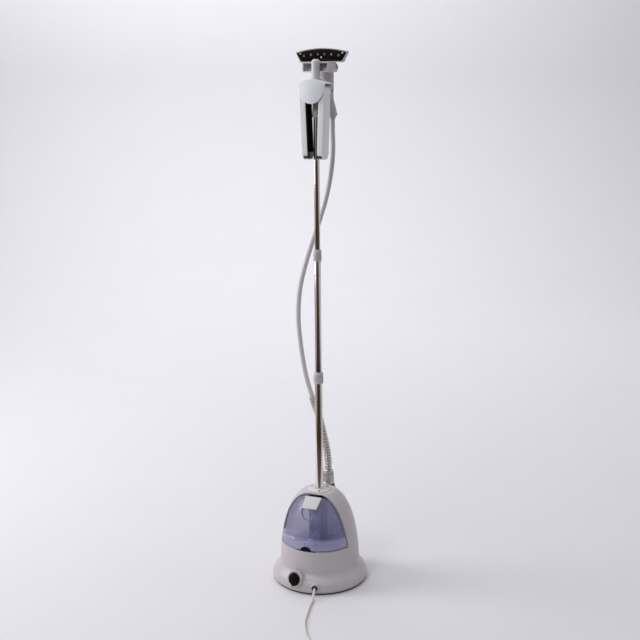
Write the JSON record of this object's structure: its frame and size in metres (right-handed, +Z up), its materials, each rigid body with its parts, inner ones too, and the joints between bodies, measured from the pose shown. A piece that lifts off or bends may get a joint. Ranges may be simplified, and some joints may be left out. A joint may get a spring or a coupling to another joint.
{
  "type": "garment steamer",
  "caption": "Upright garment steamer: domed base with lift-out water tank and control knob, telescopic mast, folding hanger arms, and a steam head on a flexible hose.",
  "frame": {"origin": "centre of the base on the floor, on the mast's axis", "axes": "+Z up along the mast, front with the knob and tank faces -Y"},
  "size_m": [0.3541, 0.6544, 1.536],
  "materials": {
    "shell_grey": "satin moulded plastic, warm light grey",
    "liner_grey": "matte moulded plastic",
    "white_plastic": "satin moulded plastic",
    "pale_blue": "satin moulded plastic, pale blue white",
    "navy_plastic": "satin moulded plastic",
    "black_plastic": "fine grained plastic",
    "black_gloss": "polished",
    "tank_violet": "clear tinted plastic, violet blue",
    "collar_grey": "matte",
    "head_grey": "satin moulded plastic",
    "hose_grey": "smooth flexible sleeve",
    "guard_silver": "silvery ribbed guard",
    "rubber_black": "moulded",
    "chrome_tube": "polished",
    "silver_metal": "brushed",
    "aluminium_cast": "as cast",
    "ceramic_white": "glazed",
    "cord_ivory": "smooth sheath",
    "brass_pin": "polished",
    "cap_blue": "satin",
    "lamp_red": "lens"
  },
  "bodies": {
    "root": {"foot_pads": "rubber_black", "bottom_plate": "black_plastic", "base_screws": "silver_metal", "base_shell": "shell_grey", "bay_liner": "liner_grey", "mast_socket": "navy_plastic", "top_cap": "white_plastic", "cap_screws": "black_plastic", "boiler_body": "aluminium_cast", "boiler_cover": "aluminium_cast", "heating_element": "silver_metal", "thermal_cutouts": "ceramic_white", "inlet_pipe": "white_plastic", "steam_pipe": "white_plastic", "valve_seat": "white_plastic", "rotary_switch": "black_plastic", "indicator_lamp": "lamp_red", "cord_gland": "rubber_black", "power_cord": "cord_ivory", "power_cord_coil": "cord_ivory", "plug_body": "cord_ivory", "plug_pins": "brass_pin", "hose_port": "silver_metal", "coupling_seal": "rubber_black", "lower_tube": "chrome_tube", "hose_guard": "guard_silver", "hose_lower": "hose_grey"},
    "control_knob": {"control_knob": "black_plastic"},
    "water_tank": {"tank_body": "tank_violet", "tank_latch": "black_plastic"},
    "tank_cap": {"tank_cap": "cap_blue", "tank_seal": "rubber_black", "valve_spring": "silver_metal"},
    "valve_plunger": {"valve_plunger": "white_plastic"},
    "tank_handle": {"tank_handle": "white_plastic"},
    "coupling_nut": {"coupling_nut": "silver_metal"},
    "lower_collar": {"lower_collar": "collar_grey"},
    "middle_mast": {"middle_tube": "chrome_tube", "middle_bush": "black_plastic", "hose_middle": "hose_grey"},
    "upper_collar": {"upper_collar": "collar_grey"},
    "upper_mast": {"upper_tube": "chrome_tube", "upper_bush": "black_plastic", "hose_upper": "hose_grey", "mast_adapter": "white_plastic", "hanger_front_cover": "pale_blue", "hanger_back_cover": "pale_blue", "arm_pins": "silver_metal", "head_cradle": "white_plastic"},
    "adapter_button": {"adapter_button": "navy_plastic"},
    "left_arm": {"left_arm": "pale_blue"},
    "right_arm": {"right_arm": "pale_blue"},
    "steam_head": {"head_housing": "head_grey", "steam_plate": "black_gloss", "plate_screws": "silver_metal", "handle_front": "head_grey", "handle_back": "head_grey", "hose_cuff": "rubber_black"},
    "handle_button": {"handle_button": "black_gloss"}
  },
  "joints": [
    {"name": "middle_mast_slide", "type": "slide", "parent": "root", "child": "middle_mast", "axis": [0, 0, 1], "range_m": [-0.24, 0], "deforming": ["hose_lower", "hose_guard"]},
    {"name": "upper_mast_slide", "type": "slide", "parent": "middle_mast", "child": "upper_mast", "axis": [0, 0, 1], "range_m": [-0.24, 0], "deforming": ["hose_middle"]},
    {"name": "lower_collar_twist", "type": "hinge", "parent": "root", "child": "lower_collar", "pos_m": [0, 0, 0.612], "axis": [0, 0, 1], "range_deg": [0, 40]},
    {"name": "upper_collar_twist", "type": "hinge", "parent": "middle_mast", "child": "upper_collar", "pos_m": [0, 0, 0.968], "axis": [0, 0, 1], "range_deg": [0, 40]},
    {"name": "left_arm_fold", "type": "hinge", "parent": "upper_mast", "child": "left_arm", "pos_m": [-0.028, 0, 1.425], "axis": [0, 1, 0], "range_deg": [0, 75]},
    {"name": "right_arm_fold", "type": "hinge", "parent": "upper_mast", "child": "right_arm", "pos_m": [0.028, 0, 1.425], "axis": [0, -1, 0], "range_deg": [0, 75]},
    {"name": "steam_head_lift", "type": "slide", "parent": "upper_mast", "child": "steam_head", "axis": [0, 0, 1], "range_m": [0, 0.06], "deforming": ["hose_upper"]},
    {"name": "handle_button_press", "type": "slide", "parent": "steam_head", "child": "handle_button", "axis": [0, 1, 0], "range_m": [0, 0.003], "stiffness_N_per_m": 500, "springref_m": -0.002},
    {"name": "adapter_button_press", "type": "slide", "parent": "upper_mast", "child": "adapter_button", "axis": [-0.7071, 0.7071, 0], "range_m": [0, 0.003], "stiffness_N_per_m": 500, "springref_m": -0.002},
    {"name": "control_knob_turn", "type": "hinge", "parent": "root", "child": "control_knob", "pos_m": [-0.02509, -0.13672, 0.042], "axis": [-0.1744, -0.9501, 0.2588], "range_deg": [0, 240]},
    {"name": "water_tank_lift_out", "type": "slide", "parent": "root", "child": "water_tank", "axis": [0, -0.7071, 0.7071], "range_m": [0, 0.15]},
    {"name": "tank_handle_lift", "type": "hinge", "parent": "water_tank", "child": "tank_handle", "pos_m": [0, -0.048, 0.263], "axis": [-1, 0, 0], "range_deg": [0, 50]},
    {"name": "tank_cap_twist", "type": "hinge", "parent": "water_tank", "child": "tank_cap", "pos_m": [0, -0.078, 0.123], "axis": [0, 0, 1], "range_deg": [0, 90]},
    {"name": "valve_plunger_press", "type": "slide", "parent": "tank_cap", "child": "valve_plunger", "axis": [0, 0, 1], "range_m": [0, 0.003], "stiffness_N_per_m": 300, "springref_m": -0.003, "deforming": ["valve_spring"]},
    {"name": "coupling_nut_turn", "type": "hinge", "parent": "root", "child": "coupling_nut", "pos_m": [0, 0.072, 0.28], "axis": [0, 0, 1], "continuous": true}
  ]
}
